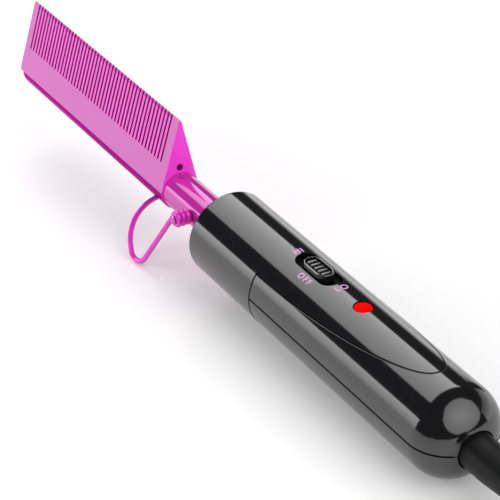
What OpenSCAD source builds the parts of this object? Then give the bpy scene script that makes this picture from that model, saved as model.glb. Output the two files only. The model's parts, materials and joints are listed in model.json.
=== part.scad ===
/* [Pose] */
// Tilt of the whole comb when it rests on its wire stand, nose up
rest_tilt = 2.8; // [1.5:0.1:4.5]

/* [Handle] */
// Outer radius of the handle
handle_r = 16; // [15:0.25:18]
// Length from the front rim to the start of the rounded rear corner
handle_straight = 130.9; // [128:0.1:145]
// Radius of the rounded rear corner, seen in section
rear_corner_r = 13.5; // [11:0.25:14]
// Rounding of the front rim
rim_round = 1.2; // [0.4:0.1:1.8]
// Wall of the handle shells
shell_wall = 2.2; // [1.8:0.1:2.6]
// Thickness of the front wall of the nose cover
front_wall = 3; // [2:0.25:4]
// Length of the nose cover's closed sleeve, up to the cross seam
sleeve_len = 39.8; // [36:0.1:42]
// Reach of the top tongue, from the front rim
tongue_end = 123.1; // [121:0.1:126]
// Width of the side strips beside the tongue's root, seen from above
strip_w = 2.9; // [2.2:0.1:3.4]
// Roundness of the tongue's outline: 2 is an ellipse
tongue_power = 2.35; // [2:0.05:3]
// Gap of the seams between the shells
seam_gap = 0.4; // [0.2:0.05:0.45]

/* [Comb head] */
// Length of the comb head
head_len = 113.9; // [90:0.1:130]
// Radius of the round barrel along the bottom
barrel_r = 7.6; // [7.3:0.05:8.5]
// Height of the tooth tips over the barrel's axis
apex_h = 27.9; // [22:0.1:34]
// Thickness of the tooth tips
apex_w = 0.8; // [0.6:0.1:1.6]
// Distance from one slot to the next
slot_pitch = 2.32; // [2:0.02:3.2]
// Width of a slot
slot_w = 0.95; // [0.6:0.05:1.2]
// Height of the slot bottoms over the barrel's axis
slot_base_h = 10.4; // [10.4:0.1:14]
// Solid guard left beyond the slots at the tip
tip_guard = 3.9; // [2.5:0.1:6]
// Solid wall left between the slots and the rear end face
rear_guard = 4.6; // [4.5:0.1:8]
// Rounding of the barrel's corner at the tip
tip_round = 2.6; // [1:0.1:4]
// Radius of the bore that holds the heater
heater_bore_r = 4.95; // [4.6:0.05:5.2]
// Depth of the heater bore
heater_bore_len = 104; // [60:1:106]
// Radius of the small hole in the rear end face
face_hole_r = 1.35; // [0.8:0.05:1.4]
// Depth of the small hole
face_hole_len = 4; // [2:0.1:4.1]
// Height of the small hole over the barrel's axis
face_hole_h = 9.25; // [9:0.05:9.3]

/* [Neck] */
// Outer radius of the neck tube
tube_r = 7; // [6.4:0.05:7.2]
// Wall of the neck tube
tube_wall = 0.9; // [0.6:0.05:1.2]
// Length of tube in view between the comb head and the handle
neck_len = 33.6; // [32:0.1:40]
// Length of the tube's spigot in the comb head
spigot_len = 12; // [8:0.5:16]
// Bore radius of the spigot
spigot_bore_r = 4.1; // [3.6:0.1:4.2]
// Reach of the tube into the handle
tube_reach = 29; // [28:0.5:30]
// Outer radius of the insulating bush in the nose
bush_r = 9.2; // [8.6:0.1:10]
// Length of the bush
bush_len = 7; // [5:0.5:9]

/* [Wire stand] */
// Radius of the stand's wire
wire_r = 1; // [0.8:0.05:1.2]
// Distance of the stand's pivot in front of the handle's rim
pivot_back = 14.8; // [14:0.05:17]
// Height of the pivot over the tube's axis
pivot_h = 0.9; // [0:0.1:1.5]
// Radius of the pivot rivets
rivet_r = 0.95; // [0.8:0.05:1.2]
// Turns of wire in each eye
eye_turns = 3; // [2:1:4]
// Distance of the feet from the middle plane
foot_half_w = 19.4; // [18.8:0.1:22]
// Distance of the feet in front of the pivot
foot_forward = 15.4; // [12:0.05:18]
// Reach of the front bow, as a share of the height of the handle's axis over the surface
bow_share = 1.054; // [1.04:0.002:1.15]
// Bend radius at the feet
foot_bend_r = 4.4; // [3:0.1:4.6]
// Gap between the bow and the barrel that it stops against
stop_gap = 0.35; // [0.3:0.05:0.8]

/* [Switch and lamp] */
// Middle of the switch, from the front rim
switch_x = 56.75; // [54:0.25:58]
// Length of the switch pocket
pocket_len = 21.5; // [20:0.25:23]
// Width of the switch pocket
pocket_w = 8.4; // [8:0.1:9.4]
// Length of the switch knob
knob_len = 12.6; // [11.5:0.1:13]
// Width of the switch knob
knob_w = 7.2; // [6.4:0.1:7.4]
// Height of the knob over the top of the handle
knob_proud = 1.7; // [1:0.1:3]
// Travel of the knob to each side of its middle position
knob_travel = 3.8; // [2:0.1:4]
// Ribs across the knob
knob_ribs = 6; // [4:1:7]
// Middle of the pilot lamp, from the front rim
lamp_x = 82.5; // [80:0.25:86]
// Radius of the pilot lamp's lens
lens_r = 3.2; // [2.6:0.1:3.8]

/* [Cord] */
// Radius of the cord
cord_r = 3.1; // [3.1:0.1:3.1]
// Radius of the cord boot at its root
boot_r = 6.3; // [5.6:0.1:6.6]
// Radius of the cord boot at its end
boot_tip_r = 4.3; // [3.8:0.1:4.8]
// Length of the cord boot beyond the handle
boot_len = 35; // [35:0.5:35]
// Grooves round the boot
boot_grooves = 6; // [4:1:8]
// Bend radius of the innermost turn at the ends of the tied hank
hank_bend_r = 18.6; // [18.6:0.1:18.6]
// Bend radius of the innermost turn where it draws in to the hank's waist
waist_bend_r = 31; // [31:0.5:31]
// Turns of the hank side by side
hank_rows = 2; // [2:1:2]
// Layers of the hank
hank_layers = 3; // [3:1:3]

/* [Hidden] */

// Roundness of the turned pieces and of small ones
$fn = 96;
small_fn = 40;
// A little more than nothing, for cuts that run past a face
past = 0.5;
// Clearance of a piece that is pushed into another, and of a piece that turns in another
push_fit = 0.05;
run_fit = 0.05;
// Gap between bodies that pass each other, and round the boot in the handle's rear
body_gap = 0.35;
boot_gap = 0.5;

// Where the comb head's rear face and tip are
head_x = -neck_len;
tip_x = head_x - head_len;
// Rear edge of the handle at the cord opening
rear_open_r = boot_r + boot_gap;
rear_rise = rear_open_r - (handle_r - rear_corner_r);
rear_x = handle_straight + sqrt(pow(rear_corner_r, 2) - pow(rear_rise, 2));
boot_end_x = rear_x + boot_len;
// Height of the handle's axis over the surface at the front rim, with the rear corner resting
lift = handle_straight * sin(rest_tilt) + (handle_r - rear_corner_r) * cos(rest_tilt) + rear_corner_r;
// Middle of the object's length on the surface, without the cord
low_x = tip_x * cos(rest_tilt) - (barrel_r - tip_round) * sin(rest_tilt);
high_x = boot_end_x * cos(rest_tilt) + boot_tip_r * sin(rest_tilt);
mid_x = (low_x + high_x) / 2;

// ---- shared helpers ----

// Puts a piece drawn along the handle's axis into its resting place
module seat() {
    translate([-mid_x, 0, lift]) rotate([0, rest_tilt, 0]) children();
}

// Turns a profile of [radius, distance along X] about the X axis
module turned() {
    rotate([0, 90, 0]) rotate_extrude() children();
}

// Extrudes a [Y, Z] outline along X
module along_x(from, length) {
    translate([from, 0, 0]) rotate([90, 0, 90]) linear_extrude(length) children();
}

// A round bar along X
module bar_x(from, length, radius) {
    translate([from, 0, 0]) rotate([0, 90, 0]) cylinder(h = length, r = radius);
}

// A round bar along Y
module bar_y(from, length, radius) {
    translate([0, from, 0]) rotate([-90, 0, 0]) cylinder(h = length, r = radius);
}

// A slot outline with round ends, centred, its length along X
module stadium(length, width) {
    square([length - width, width], center = true);
    for (side = [-1, 1])
        translate([side * (length - width) / 2, 0]) circle(d = width);
}

// A rectangle with rounded corners, centred
module round_rect(size, radius) {
    square([size[0] - 2 * radius, size[1]], center = true);
    square([size[0], size[1] - 2 * radius], center = true);
    for (x = [-1, 1], y = [-1, 1])
        translate([x * (size[0] / 2 - radius), y * (size[1] / 2 - radius)]) circle(radius);
}

function unit(v) = v / norm(v);

// A round wire swept along a list of points, its rings carried on without a twist
function tangent(p, i) = unit(p[min(i + 1, len(p) - 1)] - p[max(i - 1, 0)]);
function across(v, t) = unit(v - (v * t) * t);
function ring_of(middle, t, side, radius, sides) =
    let (other = cross(t, side))
    [for (k = [0 : sides - 1])
        middle + radius * (cos(360 * k / sides) * side + sin(360 * k / sides) * other)];
module swept(points, radius, sides) {
    n = len(points);
    first = abs(tangent(points, 0)[2]) < 0.9 ? [0, 0, 1] : [1, 0, 0];
    rings = [for (i = 0, side = across(first, tangent(points, 0)); i < n;
        i = i + 1, side = i < n ? across(side, tangent(points, i)) : side)
        each ring_of(points[i], tangent(points, i), side, radius, sides)];
    walls = [for (i = [0 : n - 2], k = [0 : sides - 1])
        let (a = i * sides + k, b = i * sides + (k + 1) % sides)
        each [[a, a + sides, b], [b, a + sides, b + sides]]];
    caps = [[for (k = [0 : sides - 1]) k], [for (k = [sides - 1 : -1 : 0]) (n - 1) * sides + k]];
    polyhedron(rings, concat(walls, caps));
}

// ---- comb head and heater ----

slot_count = floor((head_len - tip_guard - rear_guard - slot_w) / slot_pitch) + 1;
// Where the flat sides leave the round barrel
side_angle = atan2(apex_h, apex_w / 2) - acos(barrel_r / norm([apex_w / 2, apex_h]));
side_touch = barrel_r * [cos(side_angle), sin(side_angle)];

module head_outline() {
    circle(barrel_r);
    polygon([[-side_touch[0], side_touch[1]], [0, -barrel_r / 2], side_touch,
        [apex_w / 2, apex_h], [-apex_w / 2, apex_h]]);
}

// The round corner that is taken off the barrel at its tip, below the axis
module tip_corner() {
    intersection() {
        turned() difference() {
            translate([barrel_r - tip_round, tip_x - past]) square([tip_round + past, tip_round + past]);
            translate([barrel_r - tip_round, tip_x + tip_round]) circle(tip_round);
        }
        translate([tip_x - 1, -barrel_r - 1, -barrel_r - 1])
            cube([tip_round + 2, 2 * barrel_r + 2, barrel_r + 1]);
    }
}

module comb_head() {
    color([0.86, 0.42, 0.75]) difference() {
        along_x(tip_x, head_len) head_outline();
        for (i = [0 : slot_count - 1])
            translate([tip_x + tip_guard + i * slot_pitch, -barrel_r, slot_base_h])
                cube([slot_w, 2 * barrel_r, apex_h]);
        tip_corner();
        bar_x(head_x - heater_bore_len, heater_bore_len + past, heater_bore_r);
        translate([0, 0, face_hole_h])
            bar_x(head_x - face_hole_len, face_hole_len + past, face_hole_r, $fn = small_fn);
    }
}

// The heater lies in the bore between the spigot and the bottom of the bore
heater_end = head_x - spigot_len - 0.5;
heater_start = head_x - heater_bore_len + 0.5;
heater_len = heater_end - heater_start;
core_r = 2.5;
winding_wire_r = 0.4;
sleeve_wall = 0.7;
sleeve_out_r = heater_bore_r - push_fit;
winding_pitch = 3.2;
winding_end_gap = 4;

module heater_core() {
    color([0.93, 0.91, 0.86]) difference() {
        bar_x(heater_start, heater_len, core_r);
        for (side = [-1, 1])
            translate([0, side * 1.2, 0]) bar_x(heater_start - past, heater_len + 2 * past, 0.6, $fn = small_fn);
    }
}

// Resistance wire round the core, its turns joined by a thin cement layer
module heater_winding() {
    first = heater_start + winding_end_gap;
    count = floor((heater_len - 2 * winding_end_gap) / winding_pitch);
    cement = 0.25;
    color([0.62, 0.6, 0.58]) turned() {
        translate([core_r + push_fit, first - winding_pitch / 2]) square([cement, count * winding_pitch]);
        for (i = [0 : count - 1])
            translate([core_r + push_fit + winding_wire_r, first + i * winding_pitch])
                circle(winding_wire_r, $fn = 16);
    }
}

module heater_sleeve() {
    color([0.8, 0.76, 0.66]) turned()
        translate([sleeve_out_r - sleeve_wall, heater_start]) square([sleeve_wall, heater_len]);
}

// ---- neck ----

tube_in_r = tube_r - tube_wall;
pivot = [-pivot_back, 0, pivot_h];

module neck_tube() {
    color([0.76, 0.24, 0.64]) difference() {
        turned() {
            translate([tube_in_r, head_x]) square([tube_wall, neck_len + tube_reach]);
            translate([spigot_bore_r, head_x]) square([tube_r - spigot_bore_r, 2]);
            translate([spigot_bore_r, head_x - spigot_len])
                square([heater_bore_r - push_fit - spigot_bore_r, spigot_len + 1]);
        }
        translate(pivot) bar_y(-tube_r - past, 2 * tube_r + 2 * past, rivet_r + 0.03, $fn = small_fn);
    }
}

bush_x = 0.8;
module nose_bush() {
    lip = 1.4;
    color([0.16, 0.15, 0.15]) turned() {
        translate([tube_r + push_fit, bush_x]) square([bush_r - lip - tube_r - push_fit, bush_len]);
        translate([tube_r + push_fit, front_wall + push_fit]) square([bush_r - tube_r - push_fit,
            bush_x + bush_len - front_wall - push_fit]);
    }
}

clamp_x = 19;
clamp_len = 7;
clamp_screw_r = 1.5;
cavity_r = handle_r - shell_wall;
clamp_r = cavity_r - push_fit;

// Ring with three feet that centres the tube in the nose cover
module tube_clamp() {
    hub_r = tube_r + 2.6;
    foot_w = 7;
    color([0.72, 0.7, 0.66]) difference() {
        along_x(clamp_x, clamp_len) difference() {
            union() {
                circle(hub_r);
                intersection() {
                    circle(clamp_r);
                    for (turn = [0, 120, 240]) rotate(turn)
                        translate([-foot_w / 2, 0]) square([foot_w, 2 * clamp_r]);
                }
            }
            circle(tube_r + push_fit);
        }
        translate([clamp_x + clamp_len / 2, 0, 0])
            cylinder(h = clamp_r + past, r = clamp_screw_r + push_fit, $fn = small_fn);
    }
}

module clamp_screw() {
    bottom = tube_r + 0.1;
    top = clamp_r - 0.3;
    color([0.75, 0.75, 0.77]) translate([clamp_x + clamp_len / 2, 0, 0]) difference() {
        translate([0, 0, bottom]) cylinder(h = top - bottom, r = clamp_screw_r, $fn = small_fn);
        translate([-2, -0.3, top - 0.9]) cube([4, 0.6, past + 0.9]);
    }
}

// ---- wire stand ----

eye_r = rivet_r + run_fit + wire_r;
eye_in_y = tube_r + body_gap + wire_r;
eye_pitch = 1.9 * wire_r;
eye_out_y = eye_in_y + eye_pitch * (eye_turns - 1);
eye_end = eye_out_y + wire_r;
knee_len = 1;
// The surface in the handle's own frame: its normal, and a point's height over it
up = [-sin(rest_tilt), 0, cos(rest_tilt)];
function height(p) = lift + p * up;
bow_reach = bow_share * lift;
bow_lead = bow_reach - foot_half_w;
bow_z = -(barrel_r + stop_gap + wire_r);
function foot_at(z) = [pivot[0] - foot_forward, -foot_half_w, z];
function bow_dir(z) = let (s = (bow_z - z) / bow_reach) [-sqrt(1 - s * s), 0, s];
// Where the leg starts at its eye: on the front of the outermost turn
function leg_slope(z) = unit([foot_forward, 0, pivot[2] - z]);
function leg_top(z) = let (d = leg_slope(z)) [pivot[0], -eye_out_y, pivot[2]] + eye_r * [-d[2], 0, d[0]];
// The leg leaves the eye in the plane of its turn, clear of the rivet's head, before it splays
function leg_knee(z) = leg_top(z) - knee_len * leg_slope(z);
function leg_dir(z) = unit(leg_knee(z) - foot_at(z));
// The foot's bend: half its opening angle, its middle and its lowest point
function foot_half(z) = acos(leg_dir(z) * bow_dir(z)) / 2;
function foot_mid(z) = foot_at(z) + unit(leg_dir(z) + bow_dir(z)) * foot_bend_r / sin(foot_half(z));
function foot_axis(z) = unit(cross(leg_dir(z), bow_dir(z)));
function foot_low(z) = height(foot_mid(z)) - foot_bend_r * norm(up - (up * foot_axis(z)) * foot_axis(z));
// Lowers the foot's corner until the wire's underside meets the surface
function settle(z, steps) = steps == 0 ? z : settle(z + wire_r - foot_low(z), steps - 1);
foot_z = settle(-lift, 12);
foot_tangent = foot_bend_r / tan(foot_half(foot_z));
// The bow is drawn from where the foot's bend meets it
bow_start = asin(max(0, foot_tangent - bow_lead) / foot_half_w) + 4;

// The eye's turns, drawn side by side so close that they merge a little
module eye() {
    translate(pivot) rotate([90, 0, 0]) rotate_extrude() for (i = [0 : eye_turns - 1])
        translate([eye_r, eye_in_y + eye_pitch * i]) circle(wire_r, $fn = small_fn);
}

// Points along an arc that starts at a radius out from its middle and turns towards ahead
function arc_points(middle, out, ahead, radius, from, to, steps) =
    [for (i = [0 : steps]) let (a = from + (to - from) * i / steps)
        middle + radius * (cos(a) * out + sin(a) * ahead)];
function flipped(p) = [p[0], -p[1], p[2]];

// The wire from one eye down the leg, round the foot, along the bow and up the other side
module stand_wire() {
    leg = leg_dir(foot_z);
    bow = bow_dir(foot_z);
    corner = foot_at(foot_z);
    middle = foot_mid(foot_z);
    out = unit(corner + leg * foot_tangent - middle);
    foot = arc_points(middle, out, -leg, foot_bend_r, 0, 180 - 2 * foot_half(foot_z), 8);
    half = concat([leg_top(foot_z), leg_knee(foot_z), corner + leg * (foot_tangent + 4 * wire_r)], foot);
    bow_middle = [corner[0], 0, corner[2]] + bow * bow_lead;
    arc = arc_points(bow_middle, [0, -1, 0], bow, foot_half_w, bow_start, 180 - bow_start, 40);
    color([0.88, 0.28, 0.76]) {
        swept(concat(half, arc, [for (i = [len(half) - 1 : -1 : 0]) flipped(half[i])]), wire_r, 12);
        eye();
        mirror([0, 1, 0]) eye();
    }
}

module stand_rivets() {
    head_y = eye_end + body_gap;
    outer_head_r = rivet_r + 0.75;
    rim = 0.2;
    inner_head = 1.6;
    color([0.88, 0.5, 0.8]) for (side = [0, 1]) mirror([0, side, 0]) translate(pivot) {
        bar_y(tube_in_r - inner_head, head_y + inner_head - tube_in_r + 0.2, rivet_r, $fn = small_fn);
        bar_y(tube_in_r - inner_head, 0.9, rivet_r + 0.45, $fn = small_fn);
        bar_y(head_y, rim, outer_head_r, $fn = small_fn);
        translate([0, head_y + rim, 0]) rotate([-90, 0, 0])
            cylinder(h = 0.35, r1 = outer_head_r, r2 = outer_head_r - 0.6, $fn = small_fn);
    }
}

// ---- handle shells ----

// Filled half section of the handle, drawn inside its surface by an inset
module handle_section(inset, start) {
    core = handle_r - rear_corner_r;
    translate([0, start]) square([handle_r - inset, handle_straight - start]);
    translate([0, handle_straight]) square([core, rear_corner_r - inset]);
    translate([core, handle_straight]) intersection() {
        circle(rear_corner_r - inset);
        square(rear_corner_r);
    }
}

// The shell's wall, from the front rim to the cord opening
module shell_section() {
    difference() {
        union() {
            handle_section(0, rim_round);
            square([handle_r - rim_round, rim_round + past]);
            translate([handle_r - rim_round, rim_round]) circle(rim_round);
        }
        handle_section(shell_wall, front_wall);
        translate([0, handle_straight]) square([rear_open_r, 2 * rear_corner_r]);
    }
}

// The tongue's outline from above, grown by a margin
tongue_root = sleeve_len - 7.3;
tongue_half_w = handle_r - strip_w;
module tongue_outline(margin) {
    reach = tongue_end - tongue_root + margin;
    half = tongue_half_w + margin;
    steps = 26;
    edge = [for (i = [0 : steps]) let (t = 90 * i / steps)
        [tongue_root + reach * pow(sin(t), 2 / tongue_power), half * pow(cos(t), 2 / tongue_power)]];
    polygon(concat(edge, [for (i = [steps : -1 : 0]) [edge[i][0], -edge[i][1]]]));
}
module tongue_prism(margin) {
    linear_extrude(handle_r + 1) tongue_outline(margin);
}

// Keeps what lies between two places along X and above or below the middle plane
module slice_x(from, to) {
    translate([from, -2 * handle_r, -2 * handle_r]) cube([to - from, 4 * handle_r, 4 * handle_r]);
}
module half_space(sign) {
    translate([-past, -2 * handle_r, sign > 0 ? seam_gap / 2 : -2 * handle_r - seam_gap / 2])
        cube([2 * handle_straight, 4 * handle_r, 2 * handle_r]);
}

pocket_floor = handle_r - 2.1;
pad_bottom = handle_r - 4.2;
window_w = 3.4;
window_len = pocket_len - pocket_w + 3;
// Case screws: one in the middle plane and a pair beside the swivel, with the heights of their seats
screw_r = 1.25;
screw_head_r = 2.6;
screw_head_h = 1.8;
screw_len = 12;
boss_r = 2.5;
mid_seat_z = -7.5;
rear_seat_z = -6;
rear_screw_x = handle_straight - 5.4;
rear_screw_y = cavity_r - boss_r - 0.9;

// The closed front sleeve with the tongue that runs back along the top
module nose_cover() {
    lens_hole = lens_r + 0.2;
    color([0.1, 0.1, 0.105]) difference() {
        union() {
            difference() {
                turned() shell_section();
                slice_x(sleeve_len, 2 * handle_straight);
            }
            intersection() {
                turned() shell_section();
                tongue_prism(0);
            }
            // Pad under the switch pocket
            intersection() {
                translate([switch_x, 0, pad_bottom]) linear_extrude(handle_r - pad_bottom)
                    stadium(pocket_len + 3, pocket_w + 3);
                bar_x(0, handle_straight, handle_r - 0.6);
            }
            // Boss for the middle screw
            intersection() {
                translate([screw_x, 0, seam_gap]) cylinder(h = handle_r, r = boss_r + 0.5);
                bar_x(0, handle_straight, handle_r - 0.6);
            }
        }
        translate([switch_x, 0, pocket_floor]) linear_extrude(handle_r) stadium(pocket_len, pocket_w);
        translate([switch_x, 0, pad_bottom - past]) linear_extrude(handle_r) stadium(window_len, window_w);
        translate([lamp_x, 0, 0]) cylinder(h = 2 * handle_r, r = lens_hole);
        translate([screw_x, 0, 0]) cylinder(h = screw_len + mid_seat_z + 1, r = screw_r + push_fit,
            $fn = small_fn);
        bar_x(-past, front_wall + 2 * past, bush_r - 1.4 + push_fit);
        // Shallow ring in the front face
        turned() translate([bush_r + 1, -past]) square([handle_r - rim_round - bush_r - 2.6, past + 0.6]);
    }
}

// The ring that reaches from a rear shell under the sleeve
module spigot_ring(sign) {
    lip = 1.5;
    intersection() {
        turned() {
            translate([cavity_r - push_fit - lip, sleeve_len - 5]) square([lip, 5 + seam_gap + past]);
            translate([cavity_r - push_fit - lip, sleeve_len + seam_gap]) square([lip + 0.6, 3]);
        }
        half_space(sign);
    }
}

// The swivel's bearing lies just inside the rear, with the contact block and the middle screw before it
bearing_r = 7.6;
bearing_x = handle_straight - 12.1;
bearing_len = 15.2;
block_len = 8;
block_x = bearing_x - block_len - 1.9;
screw_x = block_x - 4.4;
// Ribs that grip the swivel's bearing, in one half of the handle
module bearing_ribs(sign) {
    intersection() {
        difference() {
            union() {
                slice_x(bearing_x + 1, bearing_x + 2.8);
                slice_x(bearing_x + 11.5, bearing_x + 13.3);
            }
            bar_x(bearing_x, bearing_len, bearing_r + push_fit);
        }
        turned() handle_section(shell_wall - 0.4, sleeve_len + 5);
        half_space(sign);
    }
}

// The two side strips joined behind the tongue
module upper_shell() {
    ledge = 1.4;
    ledge_w = 2.6;
    color([0.1, 0.1, 0.105]) difference() {
        union() {
            difference() {
                intersection() {
                    turned() shell_section();
                    slice_x(sleeve_len + seam_gap, 2 * handle_straight);
                    half_space(1);
                }
                tongue_prism(seam_gap);
            }
            // Ledge under the tongue's edge
            intersection() {
                turned() translate([cavity_r - push_fit - ledge, sleeve_len + seam_gap])
                    square([ledge, handle_straight - sleeve_len]);
                difference() {
                    tongue_prism(seam_gap + 1);
                    translate([0, 0, -1]) linear_extrude(2 * handle_r) tongue_outline(-ledge_w);
                }
                slice_x(sleeve_len + seam_gap, tongue_end + 2);
                half_space(1);
            }
            difference() {
                spigot_ring(1);
                tongue_prism(seam_gap);
            }
            difference() {
                bearing_ribs(1);
                tongue_prism(seam_gap);
            }
            intersection() {
                for (side = [-1, 1]) translate([rear_screw_x, side * rear_screw_y, seam_gap / 2])
                    cylinder(h = handle_r, r = boss_r);
                turned() handle_section(shell_wall - 0.4, sleeve_len + 5);
            }
        }
        for (side = [-1, 1]) translate([rear_screw_x, side * rear_screw_y, -past])
            cylinder(h = screw_len + rear_seat_z + 1.5, r = screw_r + push_fit, $fn = small_fn);
        bar_x(rear_screw_x - boss_r - 1, 2 * boss_r + 2, bearing_r + push_fit);
    }
}

board_bottom = -0.2;
board_x = switch_x - 12.75;
board_len = screw_x - boss_r - 2 - board_x;
board_w = 17;
board_t = 1.6;
board_top = board_bottom + board_t;
block_w = 15;
block_top = -6.6;
block_bottom = -9.4;

module screw_tower(place) {
    translate([place[0], place[1], -handle_r]) cylinder(h = handle_r - seam_gap, r = boss_r + 1.1);
}
module screw_cut(place, seat_z) {
    translate([place[0], place[1], -2 * handle_r]) {
        cylinder(h = 2 * handle_r, r = screw_r + 0.3, $fn = small_fn);
        cylinder(h = 2 * handle_r + seat_z, r = screw_head_r + 0.35, $fn = small_fn);
    }
}

// The whole underside behind the sleeve, with its towers, ribs and cradle
module lower_shell() {
    color([0.1, 0.1, 0.105]) difference() {
        union() {
            intersection() {
                turned() shell_section();
                slice_x(sleeve_len + seam_gap, 2 * handle_straight);
                half_space(-1);
            }
            spigot_ring(-1);
            bearing_ribs(-1);
            intersection() {
                union() {
                    screw_tower([screw_x, 0]);
                    for (side = [-1, 1]) screw_tower([rear_screw_x, side * rear_screw_y]);
                    // Cross ribs under the board
                    for (x = [board_x + 6, board_x + 28, board_x + board_len - 6])
                        translate([x, -board_w / 2, -handle_r]) cube([1.8, board_w, handle_r + board_bottom]);
                    // Ribs under the contact block
                    for (x = [block_x + 0.6, block_x + block_len - 2.2])
                        translate([x, -handle_r, -handle_r]) cube([1.6, 2 * handle_r, handle_r + block_bottom]);
                }
                turned() handle_section(shell_wall - 0.4, sleeve_len + 5);
            }
        }
        screw_cut([screw_x, 0], mid_seat_z);
        for (side = [-1, 1]) screw_cut([rear_screw_x, side * rear_screw_y], rear_seat_z);
        bar_x(rear_screw_x - boss_r - 2, 2 * boss_r + 4, bearing_r + push_fit);
    }
}

module case_screw(place, seat_z) {
    translate([place[0], place[1], seat_z]) difference() {
        union() {
            translate([0, 0, -screw_head_h]) cylinder(h = screw_head_h, r = screw_head_r, $fn = small_fn);
            translate([0, 0, -past]) cylinder(h = screw_len + past, r = screw_r, $fn = small_fn);
        }
        for (turn = [0, 90]) rotate(turn)
            translate([-1.7, -0.35, -screw_head_h - past]) cube([3.4, 0.7, past + 1]);
    }
}
module case_screws() {
    color([0.7, 0.7, 0.72]) {
        case_screw([screw_x, 0], mid_seat_z);
        for (side = [-1, 1]) case_screw([rear_screw_x, side * rear_screw_y], rear_seat_z);
    }
}

// ---- switch and lamp ----

knob_top = handle_r + knob_proud;
knob_bottom = pocket_floor + 0.3;
carrier_len = 9;
carrier_w = 5.2;
carrier_bottom = 7.9;
carrier_top = pad_bottom - 0.7;
frame_bottom = 4.2;
stem = [5, 2.4];
stem_bottom = carrier_top - 2;

// Stadium knob whose ribs stand inside a raised rim
module switch_knob() {
    rim = 0.8;
    well = 0.9;
    rib_w = 0.95;
    rib_pitch = (knob_len - 2 * rim - 1.2) / knob_ribs;
    color([0.12, 0.12, 0.125]) translate([switch_x, 0, 0]) {
        difference() {
            translate([0, 0, knob_bottom]) linear_extrude(knob_top - knob_bottom)
                stadium(knob_len, knob_w);
            translate([0, 0, knob_top - well]) linear_extrude(well + past)
                stadium(knob_len - 2 * rim, knob_w - 2 * rim);
        }
        intersection() {
            for (i = [0 : knob_ribs - 1])
                translate([(i - (knob_ribs - 1) / 2) * rib_pitch, 0, knob_top - well - 0.3])
                    linear_extrude(well + 0.2) square([rib_w, knob_w], center = true);
            translate([0, 0, knob_bottom]) linear_extrude(handle_r) stadium(knob_len - rim, knob_w - rim);
        }
        translate([0, 0, stem_bottom]) linear_extrude(knob_bottom - stem_bottom + past)
            square(stem, center = true);
    }
}

module switch_carrier() {
    color([0.85, 0.82, 0.74]) translate([switch_x, 0, 0]) difference() {
        translate([-carrier_len / 2, -carrier_w / 2, carrier_bottom])
            cube([carrier_len, carrier_w, carrier_top - carrier_bottom]);
        translate([0, 0, stem_bottom - push_fit]) linear_extrude(handle_r)
            square(stem + [2 * push_fit, 2 * push_fit], center = true);
    }
}

frame_len = 24;
frame_w = 9.6;
module switch_frame() {
    channel = [carrier_len + 2 * knob_travel + 2 * body_gap, carrier_w + 2 * body_gap];
    color([0.2, 0.2, 0.21]) translate([switch_x, 0, 0]) difference() {
        translate([-frame_len / 2, -frame_w / 2, frame_bottom])
            cube([frame_len, frame_w, pad_bottom - 0.05 - frame_bottom]);
        translate([0, 0, carrier_bottom - body_gap]) linear_extrude(handle_r) square(channel, center = true);
    }
}

module switch_pins() {
    color([0.8, 0.68, 0.4]) for (x = [-9, -3, 3, 9], y = [-2.5, 2.5])
        translate([switch_x + x, y, board_top]) cylinder(h = frame_bottom - board_top, r = 0.45, $fn = small_fn);
}

lens_flange_r = lens_r + 0.9;
lens_seat = sqrt(pow(cavity_r, 2) - pow(lens_flange_r, 2)) - 0.15;
module lamp_lens() {
    crown = 0.55;
    crown_r = (pow(lens_r, 2) + pow(crown, 2)) / (2 * crown);
    color([0.95, 0.02, 0.02]) translate([lamp_x, 0, 0]) {
        translate([0, 0, lens_seat - 1]) cylinder(h = 1, r = lens_flange_r);
        translate([0, 0, lens_seat - past]) cylinder(h = handle_r - lens_seat + past - 0.1, r = lens_r);
        translate([0, 0, handle_r - 0.1]) intersection() {
            translate([0, 0, crown - crown_r]) sphere(crown_r);
            cylinder(h = crown + 1, r = lens_r);
        }
    }
}

bulb_r = 2;
module lamp_bulb() {
    bulb_z = board_top + 1.8;
    top = lens_seat - 1.5 - bulb_r;
    color([0.9, 0.75, 0.6]) translate([lamp_x, 0, 0]) {
        translate([0, 0, bulb_z]) cylinder(h = top - bulb_z, r = bulb_r, $fn = small_fn);
        translate([0, 0, top]) sphere(bulb_r, $fn = small_fn);
        for (side = [-1, 1]) translate([0, side, board_top])
            cylinder(h = 2.2, r = 0.3, $fn = small_fn);
    }
}

module control_board() {
    color([0.1, 0.42, 0.22]) difference() {
        translate([board_x, -board_w / 2, board_bottom]) cube([board_len, board_w, board_t]);
        for (x = [board_x + 3, board_x + board_len - 3], y = [-6, 6])
            translate([x, y, board_bottom - past]) cylinder(h = board_t + 2 * past, r = 1.1, $fn = small_fn);
    }
}

// A round component lying across the board on its two bent leads
module lying_part(place, length, radius) {
    z = board_top + radius + 0.2;
    span = length + 3;
    translate([place[0], place[1], 0]) {
        translate([0, 0, z]) bar_y(-length / 2, length, radius, $fn = small_fn);
        swept([[0, -span / 2, board_top], [0, -span / 2, z - 0.4], [0, 0.4 - span / 2, z],
            [0, span / 2 - 0.4, z], [0, span / 2, z - 0.4], [0, span / 2, board_top]], 0.35, 8);
    }
}

module rectifier() {
    body_r = 1.35;
    color([0.14, 0.14, 0.15]) lying_part([switch_x + frame_len / 2 + body_r + 1, 2.5], 5.2, body_r);
}

module resistor() {
    body_r = 1.15;
    color([0.78, 0.66, 0.48]) lying_part([lamp_x - bulb_r - body_r - 1, -2], 6.3, body_r);
}

// ---- wiring inside the handle ----

lead_r = 0.9;
lead_z = board_top + lead_r;
fuse_x = 31.5;
fuse_len = 9;
fuse_r = 1.8;
fuse_y = 3;

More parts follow.
